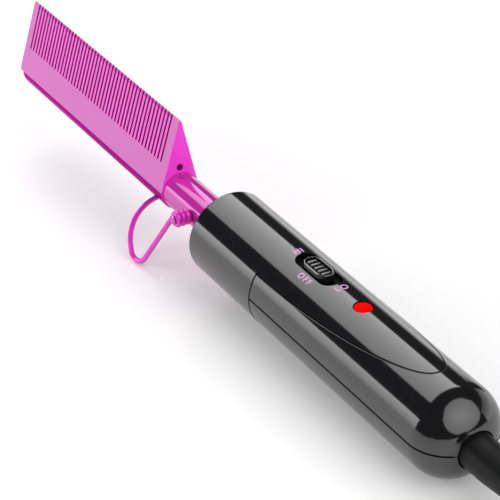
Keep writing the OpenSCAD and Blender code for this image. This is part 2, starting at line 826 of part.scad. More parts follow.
module thermal_fuse() {
    z = lead_z + 0.9;
    color([0.83, 0.8, 0.72]) translate([0, fuse_y, z]) {
        bar_x(fuse_x, fuse_len, fuse_r, $fn = small_fn);
        bar_x(fuse_x - 1, fuse_len + 2, 0.6, $fn = small_fn);
    }
}

module heater_leads() {
    z = lead_z + 0.9;
    start = heater_end + lead_r;
    turn_x = tube_reach - 3;
    color([0.85, 0.85, 0.82]) {
        swept([[start, 1.6, 0], [head_x + 4, 1.8, 0], [turn_x, fuse_y, z - 0.9],
            [fuse_x - 1 - lead_r, fuse_y, z]], lead_r, 8);
        swept([[fuse_x + fuse_len + 1 + lead_r, fuse_y, z], [board_x + 2, fuse_y, lead_z]], lead_r, 8);
        swept([[start, -1.6, 0], [head_x + 4, -1.8, 0], [turn_x, -fuse_y, lead_z],
            [board_x + 2, -fuse_y, lead_z]], lead_r, 8);
    }
}

ring_out_r = 4.4;
leaf_t = 0.4;
leaf_w = 2;
leaf_z = -ring_out_r - body_gap - leaf_t;
ring_places = [block_x + 1.4, block_x + 5.1];

module supply_wires() {
    color([0.2, 0.2, 0.22]) for (side = [0, 1]) {
        y = side == 0 ? 7 : -7;
        swept([[ring_places[side] + leaf_w / 2, y, leaf_z - 0.05 + leaf_t + 0.75],
            [screw_x + 1, side == 0 ? 8.2 : -8.2, -0.5],
            [board_x + board_len + 1.5, side == 0 ? 7.4 : -7.4, board_top + 0.8],
            [board_x + board_len - 2, side == 0 ? 7.2 : -7.2, board_top + 0.75]], 0.7, 8);
    }
}

// ---- cord swivel ----

journal_r = 5.2;
spindle_r = 3.2;
rotor_bore_r = 1.7;
flange_t = 1.6;
flange_r = 6.4;
tail_r = 4.1;
boot_start = bearing_x + bearing_len + body_gap + flange_t + 0.3;
tail_end = boot_start + 12;
// The mouth at the boot's end, and the cord's clearance in it
mouth_len = 6;
cord_clear = 0.1;

module swivel_bearing() {
    color([0.87, 0.85, 0.8]) turned() difference() {
        translate([journal_r + run_fit, bearing_x]) square([bearing_r - journal_r - run_fit, bearing_len]);
        // Oil groove
        translate([journal_r - 0.1, bearing_x + bearing_len / 2 - 0.6]) square([0.5, 1.2]);
    }
}

// Hollow spindle that turns with the cord boot
module swivel_rotor() {
    color([0.16, 0.16, 0.17]) turned() {
        translate([rotor_bore_r, block_x + 0.3]) square([spindle_r - rotor_bore_r, bearing_x - block_x - 1]);
        translate([rotor_bore_r, bearing_x - body_gap - flange_t]) square([flange_r - rotor_bore_r, flange_t]);
        translate([rotor_bore_r, bearing_x - body_gap - past])
            square([journal_r - rotor_bore_r, bearing_len + 2 * body_gap + past]);
        translate([rotor_bore_r, bearing_x + bearing_len + body_gap])
            square([flange_r - rotor_bore_r, flange_t]);
        translate([rotor_bore_r, boot_start - 0.5]) square([tail_r - rotor_bore_r, tail_end - boot_start + 0.5]);
    }
}

module slip_rings() {
    color([0.83, 0.66, 0.32]) for (x = ring_places) turned()
        translate([spindle_r + push_fit, x - 0.2]) square([ring_out_r - spindle_r - push_fit, leaf_w + 0.4]);
}

// Insulating block whose four posts carry the contact leaves
module contact_block() {
    post = 1.6;
    color([0.5, 0.2, 0.12]) {
        translate([block_x, -block_w / 2, block_bottom]) cube([block_len, block_w, block_top - block_bottom]);
        for (side = [-1, 1]) translate([block_x, side * (block_w - post) / 2 - post / 2, block_bottom])
            cube([block_len, post, leaf_z - block_bottom]);
    }
}

module contact_leaves() {
    color([0.83, 0.66, 0.32]) for (x = ring_places)
        translate([x, -block_w / 2, leaf_z]) cube([leaf_w, block_w, leaf_t]);
}

// Rubber boot: a plain collar, then a taper with grooves that let it bend
module cord_boot() {
    collar_end = rear_x + 9;
    groove = 1.3;
    groove_depth = 0.75;
    taper_len = boot_end_x - collar_end;
    inner = tail_r + push_fit;
    mouth_r = cord_r + cord_clear;
    mouth_x = boot_end_x - mouth_len;
    color([0.13, 0.13, 0.135]) turned() difference() {
        polygon([[inner, boot_start], [boot_r, boot_start], [boot_r, collar_end], [boot_tip_r, boot_end_x],
            [mouth_r, boot_end_x], [mouth_r, mouth_x], [0, mouth_x], [0, tail_end + 0.3],
            [inner, tail_end + 0.3]]);
        for (i = [1 : boot_grooves]) {
            x = collar_end + taper_len * i / (boot_grooves + 1.4);
            r = boot_r + (boot_tip_r - boot_r) * (x - collar_end) / taper_len;
            translate([r - groove_depth, x - groove / 2]) square([2, groove]);
        }
    }
}

// ---- cord, hank and plug, drawn on the surface itself ----

cord_d = 2 * cord_r;
hank_x = 276;
hank_h = cord_d * hank_layers;
// Outer edges of the hank: round its ends, and in at its waist
hank_out_r = hank_bend_r + cord_d * (hank_rows - 0.5);
hank_hole_r = hank_bend_r - cord_r;
waist_out_r = waist_bend_r - cord_d * (hank_rows - 0.5);
waist_y = waist_bend_r + cord_r;
hank_end = sqrt(pow(hank_bend_r + waist_bend_r, 2) - pow(waist_y, 2));
function on_axis(x) = [x * cos(rest_tilt) - mid_x, 0, lift - x * sin(rest_tilt)];
// The cord's way from inside the boot's mouth down to the surface and into the hank's first turn
cord_start = [on_axis(boot_end_x - mouth_len + 1), on_axis(boot_end_x + 4), [176, -0.3, 12.8],
    [186, -2.8, 11.1], [196, -7.2, 8.4], [206, -12.2, 5.7], [216, -17.2, 3.8], [226, -21.4, 3.1],
    [234, -23.9, 3.1], [240, -24.8, 3.1]];
// The cord's way from the hank's waist up to the plug that lies on it
cord_finish = [[282, 3.2, 15.5], [275, 2.7, 16.6], [267, 1.7, 20.4], [259, 0.6, 24.4], [252, 0, 25.6]];

module power_cord() {
    color([0.14, 0.14, 0.145]) {
        swept(cord_start, cord_r, 10);
        swept(cord_finish, cord_r, 10);
    }
}

// Two open loops joined by a waist where the turns lie side by side
module cord_hank() {
    neck = waist_out_r / (hank_bend_r + waist_bend_r) * [hank_end, -waist_y] + [0, waist_y];
    color([0.14, 0.14, 0.145]) translate([hank_x, 0, 0]) linear_extrude(hank_h) difference() {
        union() {
            for (side = [-1, 1]) translate([side * hank_end, 0]) circle(hank_out_r);
            square(2 * neck, center = true);
        }
        for (side = [-1, 1]) {
            translate([0, side * waist_y]) circle(waist_out_r);
            translate([side * hank_end, 0]) circle(hank_hole_r);
        }
    }
}

// Strap round the hank, beside its waist
module cord_tie() {
    tie_t = 0.8;
    tie_w = 5;
    tie_x = hank_x + 7;
    half = 14.6;
    color([0.3, 0.3, 0.31]) translate([tie_x, 0, (hank_h + tie_t) / 2])
        rotate([90, 0, 90]) linear_extrude(tie_w) difference() {
            round_rect([2 * (half + tie_t), hank_h + tie_t], 2);
            round_rect([2 * half, hank_h - tie_t], 1.2);
        }
}

plug_tail = cord_finish[len(cord_finish) - 1];
plug_tail_len = 9;
plug_len = 23;
plug_w = 23;
plug_h = 14;
blade_gap = 12.7;
blade_w = 6.35;
blade_t = 1.5;
blade_len = 17;
blade_hole_r = 1.6;

// Moulded plug: waisted body with grip ridges and a tapered tail
module plug_body() {
    color([0.14, 0.14, 0.145]) translate(plug_tail) mirror([1, 0, 0]) {
        rotate([0, 90, 0]) cylinder(h = plug_tail_len + 2, r1 = cord_r + 1, r2 = 6);
        difference() {
            along_x(plug_tail_len, plug_len) round_rect([plug_w, plug_h], 4);
            for (side = [-1, 1]) translate([plug_tail_len + 8, side * (plug_w / 2 + 12), -plug_h])
                cylinder(h = 2 * plug_h, r = 14);
        }
        for (side = [-1, 1], i = [0 : 3])
            translate([plug_tail_len + 3.4 + i * 3, side * (plug_w / 2 - 2.3), 0])
                cube([1.2, 1.6, plug_h - 5], center = true);
    }
}

module plug_blades() {
    start = plug_tail_len + plug_len;
    color([0.85, 0.82, 0.72]) translate(plug_tail) mirror([1, 0, 0]) for (side = [-1, 1]) difference() {
        translate([start, side * blade_gap / 2 - blade_t / 2, -blade_w / 2]) cube([blade_len, blade_t, blade_w]);
        translate([start + blade_len - 4, 0, 0]) bar_y(-blade_gap, 2 * blade_gap, blade_hole_r, $fn = small_fn);
    }
}

seat() comb_head();
seat() heater_core();
seat() heater_winding();
seat() heater_sleeve();
seat() neck_tube();
seat() nose_bush();
seat() tube_clamp();
seat() clamp_screw();
seat() stand_wire();
seat() stand_rivets();
seat() nose_cover();
seat() upper_shell();
seat() lower_shell();
seat() case_screws();
seat() switch_knob();
seat() switch_carrier();
seat() switch_frame();
seat() switch_pins();
seat() lamp_lens();
seat() lamp_bulb();
seat() control_board();
seat() rectifier();
seat() resistor();
seat() thermal_fuse();
seat() heater_leads();
seat() supply_wires();
seat() swivel_bearing();
seat() swivel_rotor();
seat() slip_rings();
seat() contact_block();
seat() contact_leaves();
seat() cord_boot();
power_cord();
cord_hank();
cord_tie();
plug_body();
plug_blades();
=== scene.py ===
import bpy, bmesh, json, math
from mathutils import Vector, Matrix


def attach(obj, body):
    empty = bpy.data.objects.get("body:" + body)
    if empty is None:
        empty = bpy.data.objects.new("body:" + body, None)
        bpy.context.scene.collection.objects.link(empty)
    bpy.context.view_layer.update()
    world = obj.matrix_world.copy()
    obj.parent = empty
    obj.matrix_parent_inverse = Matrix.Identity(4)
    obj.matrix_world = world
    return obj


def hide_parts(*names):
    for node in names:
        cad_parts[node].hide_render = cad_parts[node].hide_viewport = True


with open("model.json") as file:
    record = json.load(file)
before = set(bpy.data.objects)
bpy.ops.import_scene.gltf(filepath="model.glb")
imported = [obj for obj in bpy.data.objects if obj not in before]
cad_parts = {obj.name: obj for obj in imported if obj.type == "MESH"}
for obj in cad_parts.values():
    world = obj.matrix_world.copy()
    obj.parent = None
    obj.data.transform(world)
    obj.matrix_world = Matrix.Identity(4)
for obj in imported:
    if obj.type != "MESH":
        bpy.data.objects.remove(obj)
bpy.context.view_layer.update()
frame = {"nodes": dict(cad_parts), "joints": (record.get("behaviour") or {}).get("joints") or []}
mm = 0.001
joints = {joint["name"]: joint for joint in frame["joints"]}

# The handle's own frame: its axis and up direction come from the swivel joint, which lies swivelX
# behind the front rim
alongAxis = Vector(joints["cord_swivel"]["axis"]).normalized()
acrossAxis = Vector((0, 1, 0))
upAxis = alongAxis.cross(acrossAxis)
swivelX, handleRadius = 126.4, 16
frontRim = Vector(joints["cord_swivel"]["pos_m"]) - alongAxis * swivelX * mm


def seat(x, y, z):
    # millimetres from the handle's front rim into the model's own metres
    return frontRim + (alongAxis * x + acrossAxis * y + upAxis * z) * mm


def linear(red, green, blue):
    # a screen colour from 0 to 255 as the value a shader wants
    def one(c):
        c = c / 255
        return c / 12.92 if c <= 0.04045 else ((c + 0.055) / 1.055) ** 2.4
    return (one(red), one(green), one(blue), 1)


# Camera: target and distances in metres, angles in degrees, lens and film in millimetres
view = {"target": Vector((-0.00403, 0.00199, 0.02)), "azimuth": 58.458, "elevation": 29.425,
        "distance": 0.70554, "roll": -0.113, "lens": 146.86, "film": 36, "near": 0.01, "far": 50}


def makeCamera():
    a, e = math.radians(view["azimuth"]), math.radians(view["elevation"])
    back = Vector((math.sin(a) * math.cos(e), -math.cos(a) * math.cos(e), math.sin(e)))
    data = bpy.data.cameras.new("camera")
    data.lens, data.sensor_width = view["lens"], view["film"]
    data.clip_start, data.clip_end = view["near"], view["far"]
    camera = bpy.data.objects.new("camera", data)
    camera.location = view["target"] + back * view["distance"]
    turn = (-back).to_track_quat("-Z", "Y").to_matrix().to_4x4()
    roll = Matrix.Rotation(math.radians(view["roll"]), 4, "Z")
    camera.matrix_world = Matrix.Translation(camera.location) @ turn @ roll
    bpy.context.scene.collection.objects.link(camera)
    bpy.context.scene.camera = camera


makeCamera()
print("camera placed")

# Cord: from the boot's mouth to the surface, round the tied hank and up to the plug that lies on
# it, in millimetres; mouthPoints lie along the handle from the boot's end, and the points of its
# start and finish in the model's own frame
cord = {"radius": 3.1, "bootEnd": 178.697, "mouthPoints": (-5, 0, 4), "hankX": 276, "endBend": 18.6,
        "waistBend": 31, "step": 6, "bevel": 4, "smoothing": 4}
cordStart = [(176, -0.3, 12.8), (186, -2.8, 11.1), (196, -7.2, 8.4), (206, -12.2, 5.7),
             (216, -17.2, 3.8), (226, -21.4, 3.1), (234, -23.9, 3.1)]
cordFinish = [(282, 3.2, 15.5), (275, 2.7, 16.6), (267, 1.7, 20.4), (259, 0.6, 24.4),
              (252, 0, 25.6)]
# Turns done, track (0 inner, 1 outer) and layer, at each change of track or layer
hankStops = [(0, 1, 0), (0.74, 1, 0), (1, 0, 0), (1.48, 0, 0), (1.74, 0, 1), (2.2, 0, 1),
             (2.46, 1, 1), (2.94, 1, 1), (3.2, 1, 2), (3.66, 1, 2), (3.92, 0, 2), (4.6, 0, 2)]


def hankTurn():
    # the inner turn's centreline from where the first loop has its lowest y: share of the turn,
    # point and outward direction
    bend, waist = cord["endBend"], cord["waistBend"]
    waistY = waist + cord["radius"]
    endX = math.sqrt((bend + waist) ** 2 - waistY ** 2)
    lean = math.degrees(math.asin(endX / (bend + waist)))
    # middle, radius (negative where it bends inwards) and the two angles of each arc
    arcs = [(-endX, 0, bend, -90, lean - 90), (0, -waistY, -waist, 90 + lean, 90),
            (0, -waistY, -waist, 90, 90 - lean), (endX, 0, bend, -90 - lean, 90 + lean),
            (0, waistY, -waist, lean - 90, -90), (0, waistY, -waist, -90, -90 - lean),
            (-endX, 0, bend, 90 - lean, 270)]
    line, done = [], 0
    for cx, cy, radius, start, stop in arcs:
        length = math.radians(abs(stop - start)) * abs(radius)
        count = max(2, round(length / cord["step"]))
        for i in range(count):
            a = math.radians(start + (stop - start) * i / count)
            out = Vector((math.cos(a), math.sin(a), 0))
            point = Vector((cx, cy, 0)) + out * abs(radius)
            line.append((done + length * i / count, point, out if radius > 0 else -out))
        done += length
    return [(along / done, point, out) for along, point, out in line]


def smooth(s):
    return s * s * (3 - 2 * s)


def hankPoints():
    turn, points = hankTurn(), []
    diameter, lastTurn = 2 * cord["radius"], hankStops[-1][0]
    for lap in range(math.ceil(lastTurn)):
        for share, point, out in turn:
            t = lap + share
            if t > lastTurn:
                return points
            k = max(j for j, stop in enumerate(hankStops) if stop[0] <= t)
            t0, track0, layer0 = hankStops[k]
            t1, track1, layer1 = hankStops[min(k + 1, len(hankStops) - 1)]
            s = smooth((t - t0) / (t1 - t0)) if t1 > t0 else 0
            track = track0 + (track1 - track0) * s
            layer = layer0 + (layer1 - layer0) * s
            place = point + out * diameter * track
            points.append((cord["hankX"] + place.x, place.y, cord["radius"] + diameter * layer))
    return points


def makeCord(material):
    bootEnd = cord["bootEnd"]
    first = [seat(bootEnd + shift, 0, 0) for shift in cord["mouthPoints"]]
    points = first + [Vector(p) * mm for p in cordStart + hankPoints() + cordFinish]
    data = bpy.data.curves.new("cordRun", "CURVE")
    data.dimensions = "3D"
    data.bevel_depth = cord["radius"] * mm
    data.bevel_resolution = cord["bevel"]
    data.use_fill_caps = True
    data.resolution_u = cord["smoothing"]
    spline = data.splines.new("BEZIER")
    spline.bezier_points.add(len(points) - 1)
    for knot, point in zip(spline.bezier_points, points):
        knot.co = point
        knot.handle_left_type = knot.handle_right_type = "AUTO"
    piece = bpy.data.objects.new("cordRun", data)
    bpy.context.scene.collection.objects.link(piece)
    data.materials.append(material)
    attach(piece, "handle")
    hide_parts("power_cord", "cord_hank")


# Shader groups
def newGroup(name, inputs, outputs):
    # inputs and outputs are (label, kind) pairs; each material gives every input its own value
    group = bpy.data.node_groups.new(name, "ShaderNodeTree")
    for way, sockets in (("INPUT", inputs), ("OUTPUT", outputs)):
        for label, kind in sockets:
            group.interface.new_socket(label, in_out=way, socket_type=kind)
    nodes = group.nodes
    return group, nodes.new("NodeGroupInput"), nodes.new("NodeGroupOutput")


floatKind, colorKind = "NodeSocketFloat", "NodeSocketColor"


def mathNode(nodes, links, kind, first, second):
    node = nodes.new("ShaderNodeMath")
    node.operation = kind
    for socket, value in zip(node.inputs, (first, second)):
        if isinstance(value, (int, float)):
            socket.default_value = value
        else:
            links.new(value, socket)
    return node.outputs[0]


def mixColours(nodes, links, factor, first, second):
    mix = nodes.new("ShaderNodeMix")
    mix.data_type = "RGBA"
    links.new(factor, mix.inputs["Factor"])
    links.new(first, mix.inputs["A"])
    links.new(second, mix.inputs["B"])
    return mix.outputs["Result"]


def swingRoughness(nodes, links, pattern, inputs, outputs):
    # the roughness goes up and down round its own value with a pattern from 0 to 1
    swing = mathNode(nodes, links, "SUBTRACT", pattern, 0.5)
    swing = mathNode(nodes, links, "MULTIPLY", swing, inputs.outputs["Roughness Change"])
    rough = mathNode(nodes, links, "ADD", inputs.outputs["Roughness"], swing)
    links.new(rough, outputs.inputs["Roughness"])


# Noise detail of the patterns, and how much finer the specks are than the clouds
noise = {"cloudDetail": 5, "speckDetail": 3, "speckScale": 9, "scratchDetail": 4}


def makeMottle():
    # soft cloudy change of colour and roughness, with finer specks in it
    group, inputs, outputs = newGroup("mottle",
        [("Color", colorKind), ("Second Color", colorKind), ("Scale", floatKind),
         ("Roughness", floatKind), ("Roughness Change", floatKind)],
        [("Color", colorKind), ("Roughness", floatKind), ("Height", floatKind)])
    nodes, links = group.nodes, group.links
    place = nodes.new("ShaderNodeTexCoord").outputs["Object"]
    cloud = nodes.new("ShaderNodeTexNoise")
    cloud.inputs["Detail"].default_value = noise["cloudDetail"]
    fine = nodes.new("ShaderNodeTexNoise")
    fine.inputs["Detail"].default_value = noise["speckDetail"]
    for node in (cloud, fine):
        links.new(place, node.inputs["Vector"])
    scale, fog = inputs.outputs["Scale"], cloud.outputs["Fac"]
    links.new(scale, cloud.inputs["Scale"])
    links.new(mathNode(nodes, links, "MULTIPLY", scale, noise["speckScale"]), fine.inputs["Scale"])
    mixed = mixColours(nodes, links, fog, inputs.outputs["Color"], inputs.outputs["Second Color"])
    links.new(mixed, outputs.inputs["Color"])
    swingRoughness(nodes, links, fog, inputs, outputs)
    links.new(fine.outputs["Fac"], outputs.inputs["Height"])
    return group


def makeBrushing():
    # fine scratches that run one way, as a belt or a polishing wheel leaves them
    group, inputs, outputs = newGroup("brushing",
        [("Along", floatKind), ("Across", floatKind), ("Roughness", floatKind),
         ("Roughness Change", floatKind)],
        [("Roughness", floatKind), ("Height", floatKind)])
    nodes, links = group.nodes, group.links
    place = nodes.new("ShaderNodeTexCoord").outputs["Object"]
    stretch = nodes.new("ShaderNodeCombineXYZ")
    for label, source in (("X", "Along"), ("Y", "Across"), ("Z", "Across")):
        links.new(inputs.outputs[source], stretch.inputs[label])
    scaled = nodes.new("ShaderNodeVectorMath")
    scaled.operation = "MULTIPLY"
    links.new(place, scaled.inputs[0])
    links.new(stretch.outputs[0], scaled.inputs[1])
    lines = nodes.new("ShaderNodeTexNoise")
    lines.inputs["Scale"].default_value = 1
    lines.inputs["Detail"].default_value = noise["scratchDetail"]
    links.new(scaled.outputs[0], lines.inputs["Vector"])
    swingRoughness(nodes, links, lines.outputs["Fac"], inputs, outputs)
    links.new(lines.outputs["Fac"], outputs.inputs["Height"])
    return group


def makeToothTint():
    # the sides' colour is brighter on the teeth, between the two guards, and deeper at their tips
    group, inputs, outputs = newGroup("toothTint",
        [(label, colorKind) for label in ("Color", "Tooth Color", "Tip Color")] +
        [(label, floatKind) for label in ("Front", "Rear", "Root", "Tip")],
        [("Color", colorKind)])
    nodes, links = group.nodes, group.links
    offset = nodes.new("ShaderNodeVectorMath")
    offset.operation = "SUBTRACT"
    links.new(nodes.new("ShaderNodeTexCoord").outputs["Object"], offset.inputs[0])
    offset.inputs[1].default_value = frontRim

    def distance(axis):
        node = nodes.new("ShaderNodeVectorMath")
        node.operation = "DOT_PRODUCT"
        links.new(offset.outputs[0], node.inputs[0])
        node.inputs[1].default_value = axis
        return node.outputs["Value"]
    given = inputs.outputs
    x, height = distance(alongAxis), distance(upAxis)
    between = mathNode(nodes, links, "GREATER_THAN", x, given["Front"])
    for kind, value, limit in (("LESS_THAN", x, "Rear"), ("GREATER_THAN", height, "Root")):
        inside = mathNode(nodes, links, kind, value, given[limit])
        between = mathNode(nodes, links, "MULTIPLY", between, inside)
    atTip = mathNode(nodes, links, "GREATER_THAN", height, given["Tip"])
    tooth = mixColours(nodes, links, atTip, given["Tooth Color"], given["Tip Color"])
    whole = mixColours(nodes, links, between, given["Color"], tooth)
    links.new(whole, outputs.inputs["Color"])
    return group


mottle = makeMottle()
brushing = makeBrushing()
toothTint = makeToothTint()


def newMaterial(name, **sockets):
    material = bpy.data.materials.new(name)
    material.use_nodes = True
    shader = material.node_tree.nodes["Principled BSDF"]
    for label, value in sockets.items():
        shader.inputs[label.replace("_", " ")].default_value = value
    return material, shader


def placeGroup(material, group, values):
    node = material.node_tree.nodes.new("ShaderNodeGroup")
    node.node_tree = group
    for label, value in values.items():
        node.inputs[label].default_value = value
    return node


bumpDepth = 0.02 * mm  # how far the highest part of a pattern stands up


def useGroup(material, shader, group, bump, values):
    nodes, links = material.node_tree.nodes, material.node_tree.links
    node = placeGroup(material, group, values)
    if "Color" in node.outputs:
        links.new(node.outputs["Color"], shader.inputs["Base Color"])
    links.new(node.outputs["Roughness"], shader.inputs["Roughness"])
    bumpNode = nodes.new("ShaderNodeBump")
    bumpNode.inputs["Strength"].default_value = bump
    bumpNode.inputs["Distance"].default_value = bumpDepth
    links.new(node.outputs["Height"], bumpNode.inputs["Height"])
    links.new(bumpNode.outputs["Normal"], shader.inputs["Normal"])


def mottled(name, colour, second, rough, change=0.1, scale=120, bump=0.3, **sockets):
    material, shader = newMaterial(name, **sockets)
    useGroup(material, shader, mottle, bump,
             {"Color": colour, "Second Color": second, "Scale": scale, "Roughness": rough,
              "Roughness Change": change})
    return material


# Belt marks: how they stretch along and across the piece, and how deep they look
beltMarks = {"along": 8, "across": 900, "bump": 0.3}


def brushed(name, colour, rough, change=0.1, **sockets):
    material, shader = newMaterial(name, Base_Color=colour, **sockets)
    useGroup(material, shader, brushing, beltMarks["bump"],
             {"Roughness": rough, "Roughness Change": change, "Along": beltMarks["along"],
              "Across": beltMarks["across"]})
    return material


# Finish of the comb's sides: colours, and where the teeth lie, in millimetres from the handle's rim
# along it and from its axis up
combSide = {"Color": linear(213, 110, 190), "Tooth Color": linear(238, 94, 206),
            "Tip Color": linear(206, 44, 178), "Front": -143.6, "Rear": -38.2, "Root": 10.3,
            "Tip": 26.9}


def tinted(name, values, rough, change, **sockets):
    material = brushed(name, values["Color"], rough, change, **sockets)
    nodes, links = material.node_tree.nodes, material.node_tree.links
    metres = {label: value if "Color" in label else value * mm for label, value in values.items()}
    node = placeGroup(material, toothTint, metres)
    links.new(node.outputs["Color"], nodes["Principled BSDF"].inputs["Base Color"])
    return material


materials = {
    "combFlat": tinted("combFlat", combSide, 0.4, 0.08, IOR=1.45),
    "combBarrel": brushed("combBarrel", linear(165, 62, 138), 0.16, 0.05, Metallic=1.0,
                          Specular_Tint=linear(238, 160, 220)),
    "combEnd": brushed("combEnd", linear(255, 66, 226), 0.35, 0.06, IOR=1.45),
    # the walls of the comb's slots and bore are a darker magenta: painted shade
    "combSlotPaintedShade": brushed("combSlotPaintedShade", linear(158, 8, 122), 0.45, IOR=1.15),
    "tubeGloss": brushed("tubeGloss", linear(196, 44, 160), 0.1, 0.04, IOR=2.3,
                         Specular_Tint=linear(255, 200, 250)),
    "wireGloss": mottled("wireGloss", linear(238, 54, 202), linear(226, 46, 190), 0.16, IOR=2.1,
                         Specular_Tint=linear(255, 190, 248)),
    "shellBlack": mottled("shellBlack", linear(15, 15, 17), linear(19, 19, 21), 0.1, 0.04, scale=90,
                          bump=0.06, IOR=1.8),
    "knobBlack": mottled("knobBlack", linear(15, 15, 16), linear(20, 20, 21), 0.25, 0.06, scale=160,
                         bump=0.1, IOR=1.5),
    # a lighter grey on the knob's rim and ribs: painted highlight
    "knobPaintedHighlight": mottled("knobPaintedHighlight", linear(48, 48, 50), linear(66, 66, 68), 0.18, 0.08,
                          scale=260, bump=0.1, IOR=2.4),
    # a darker matt black for the knob's well, the switch pocket and the parting lines: painted
    # shade
    "paintedShadeBlack": mottled("paintedShadeBlack", linear(9, 9, 10), linear(14, 14, 15), 0.6, scale=260,
                         bump=0.2, IOR=1.2),
    "legendPink": mottled("legendPink", linear(238, 178, 226), linear(228, 164, 216), 0.5,
                          scale=400, bump=0.1),
    "lensRed": mottled("lensRed", linear(255, 0, 0), linear(246, 0, 0), 0.4, 0.04, scale=200,
                       bump=0.05, IOR=1.05, Emission_Color=linear(255, 0, 0),
                       Emission_Strength=0.25),
    "rubberBlack": mottled("rubberBlack", linear(13, 13, 14), linear(18, 18, 19), 0.44, 0.12,
                           scale=300, IOR=1.3),
    "phenolicBlack": mottled("phenolicBlack", linear(40, 36, 35), linear(52, 47, 45), 0.5),
    "paleInsulator": mottled("paleInsulator", linear(226, 220, 205), linear(208, 200, 182), 0.45),
    "firedCeramic": mottled("firedCeramic", linear(236, 230, 216), linear(220, 212, 196), 0.6),
    "micaPaper": mottled("micaPaper", linear(200, 182, 146), linear(170, 150, 112), 0.35,
                         scale=400),
    "resistanceWire": brushed("resistanceWire", linear(150, 148, 144), 0.4, Metallic=1.0),
    "zincSteel": brushed("zincSteel", linear(190, 190, 194), 0.3, Metallic=1.0),
    "springBrass": brushed("springBrass", linear(214, 176, 92), 0.25, Metallic=1.0),
    "boardGreen": mottled("boardGreen", linear(20, 92, 46), linear(14, 72, 36), 0.35, scale=250),
    "epoxyBlack": mottled("epoxyBlack", linear(34, 34, 36), linear(44, 44, 46), 0.5),
    "lacquerTan": mottled("lacquerTan", linear(198, 168, 124), linear(182, 150, 104), 0.4),
    "bulbGlass": mottled("bulbGlass", linear(255, 190, 130), linear(255, 170, 110), 0.08, 0.04),
    "braidedSleeve": mottled("braidedSleeve", linear(214, 212, 204), linear(190, 186, 176), 0.8,
                             scale=900),
    "wireInsulation": mottled("wireInsulation", linear(40, 40, 44), linear(50, 50, 54), 0.45),
    "brownPhenolic": mottled("brownPhenolic", linear(112, 52, 34), linear(92, 42, 26), 0.5),
    "nickelBlade": brushed("nickelBlade", linear(214, 208, 190), 0.22, Metallic=1.0),
}
print("materials made")

finish = {
    "comb_head": "combFlat", "heater_core": "firedCeramic", "heater_winding": "resistanceWire",
    "heater_sleeve": "micaPaper", "neck_tube": "tubeGloss", "nose_bush": "phenolicBlack",
    "tube_clamp": "paleInsulator", "clamp_screw": "zincSteel", "stand_wire": "wireGloss",
    "stand_rivets": "tubeGloss", "nose_cover": "shellBlack", "upper_shell": "shellBlack",
    "lower_shell": "shellBlack", "case_screws": "zincSteel", "switch_knob": "knobBlack",
    "switch_carrier": "phenolicBlack", "switch_frame": "epoxyBlack", "switch_pins": "springBrass",
    "lamp_lens": "lensRed", "lamp_bulb": "bulbGlass", "control_board": "boardGreen",
    "rectifier": "epoxyBlack", "resistor": "lacquerTan", "thermal_fuse": "firedCeramic",
    "heater_leads": "braidedSleeve", "supply_wires": "wireInsulation",
    "swivel_bearing": "paleInsulator", "swivel_rotor": "epoxyBlack", "slip_rings": "springBrass",
    "contact_block": "brownPhenolic", "contact_leaves": "springBrass", "cord_boot": "rubberBlack",
    "cord_tie": "epoxyBlack", "plug_body": "rubberBlack", "plug_blades": "nickelBlade",
}
for name, label in finish.items():
    mesh = frame["nodes"][name].data
    mesh.materials.clear()
    mesh.materials.append(materials[label])


# Where the comb's faces change finish: millimetres from the handle's rim and axis, and how square
# to the sides or how far upward a face has to look
combFaces = {"front": -147.4, "rear": -33.7, "bore": 7.068, "sideRoot": 3.5, "tips": 27,
             "square": 0.9, "upward": 0.03}


def faceOnHandle(piece, face):
    # a face's middle in the handle's own frame, and how its normal lies to the three axes
    middle = piece.matrix_world @ face.center - frontRim
    normal = (piece.matrix_world.to_3x3() @ face.normal).normalized()
    axes = (alongAxis, acrossAxis, upAxis)
    return [middle.dot(axis) / mm for axis in axes], [normal.dot(axis) for axis in axes]


def dressComb():
    # a finish for each kind of face: flat sides, round barrel, end faces, and a darker colour on
    # the walls of slots and bores, painted shade
    piece = frame["nodes"]["comb_head"]
    for label in ("combBarrel", "combEnd", "combSlotPaintedShade"):
        piece.data.materials.append(materials[label])
    flat, barrel, end, slotShade = range(4)
    limit = combFaces
    for face in piece.data.polygons:
        (x, y, z), (lengthways, sideways, upward) = faceOnHandle(piece, face)
        endOn = abs(lengthways) > limit["square"]
        if endOn and not limit["front"] <= x <= limit["rear"]:
            face.material_index = end
        elif endOn or math.hypot(y, z) < limit["bore"]:
            face.material_index = slotShade
        elif z > limit["sideRoot"]:
            inSlot = abs(sideways) <= limit["square"] and z < limit["tips"]
            face.material_index = slotShade if inSlot else flat
        else:
            face.material_index = flat if upward > limit["upward"] else barrel


# Where the shells' skin lies along the handle and how deep it is, and how far from the middle the
# walls of the long seam reach
shellSkin = {"start": 0.5, "stop": 130, "depth": 0.1, "seamWall": 0.3, "square": 0.9}


def dressShells():
    # what lies under the outer skin is a darker matt black, painted shade: the switch pocket and
    # the walls of the parting lines
    for name in ("nose_cover", "upper_shell", "lower_shell"):
        piece = frame["nodes"][name]
        piece.data.materials.append(materials["paintedShadeBlack"])
        for face in piece.data.polygons:
            (x, y, z), (*_, upward) = faceOnHandle(piece, face)
            wall = abs(z) < shellSkin["seamWall"] and abs(upward) > shellSkin["square"]
            inside = math.hypot(y, z) < handleRadius - shellSkin["depth"]
            if wall or (shellSkin["start"] < x < shellSkin["stop"] and inside):
                # index 1 is the darker matt black, painted shade
                face.material_index = 1  # the matt one


dressComb()
dressShells()
print("finishes given")

makeCord(materials["rubberBlack"])
print("cord laid")


